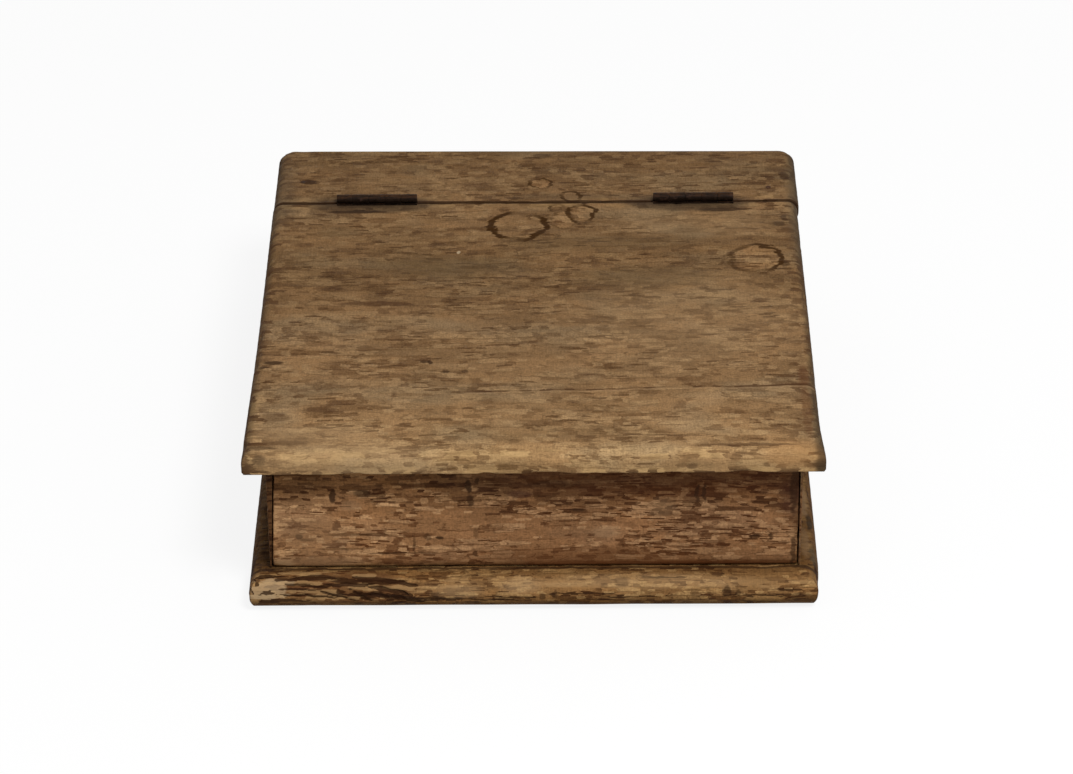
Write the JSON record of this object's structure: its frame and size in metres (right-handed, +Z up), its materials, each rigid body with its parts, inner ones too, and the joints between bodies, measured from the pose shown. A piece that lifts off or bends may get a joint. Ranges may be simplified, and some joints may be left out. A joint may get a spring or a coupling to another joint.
{
  "type": "desk letter box",
  "caption": "Low wooden letter box on a nosed base board, with a fixed rail along the back of its top and an overhanging lid on two butt hinges.",
  "frame": {"origin": "under the middle of the box, on the surface that it stands on", "axes": "+X to the right along the front, +Y from the front to the back, +Z up"},
  "size_m": [0.336, 0.356, 0.1161],
  "materials": {
    "lid_oak": "dry worn oak with open grain, water rings and pale front edge",
    "rail_oak": "dry worn oak with open grain",
    "body_oak": "reddish worn oak",
    "base_oak": "worn oak, split and rubbed along the nose",
    "hinge_iron": "dark rusted iron",
    "pin_steel": "dull dark steel",
    "screw_steel": "dull steel with brown rust",
    "nail_iron": "rusted iron"
  },
  "bodies": {
    "box": {"top_rail": "rail_oak", "front_board": "body_oak", "left_side": "body_oak", "right_side": "body_oak", "back_board": "body_oak", "base_board": "base_oak", "left_hinge_pin": "pin_steel", "right_hinge_pin": "pin_steel", "left_rail_leaf": "hinge_iron", "right_rail_leaf": "hinge_iron", "left_rail_leaf_screws": "screw_steel", "right_rail_leaf_screws": "screw_steel", "base_screws": "screw_steel", "rail_nails": "nail_iron", "front_nails": "nail_iron", "back_nails": "nail_iron"},
    "lid": {"lid": "lid_oak", "left_lid_leaf": "hinge_iron", "right_lid_leaf": "hinge_iron", "left_lid_leaf_screws": "screw_steel", "right_lid_leaf_screws": "screw_steel"}
  },
  "joints": [
    {"name": "lid_hinge", "type": "hinge", "parent": "box", "child": "lid", "pos_m": [0, 0.1055, 0.1131], "axis": [-1, 0, 0], "range_deg": [0, 185]}
  ]
}
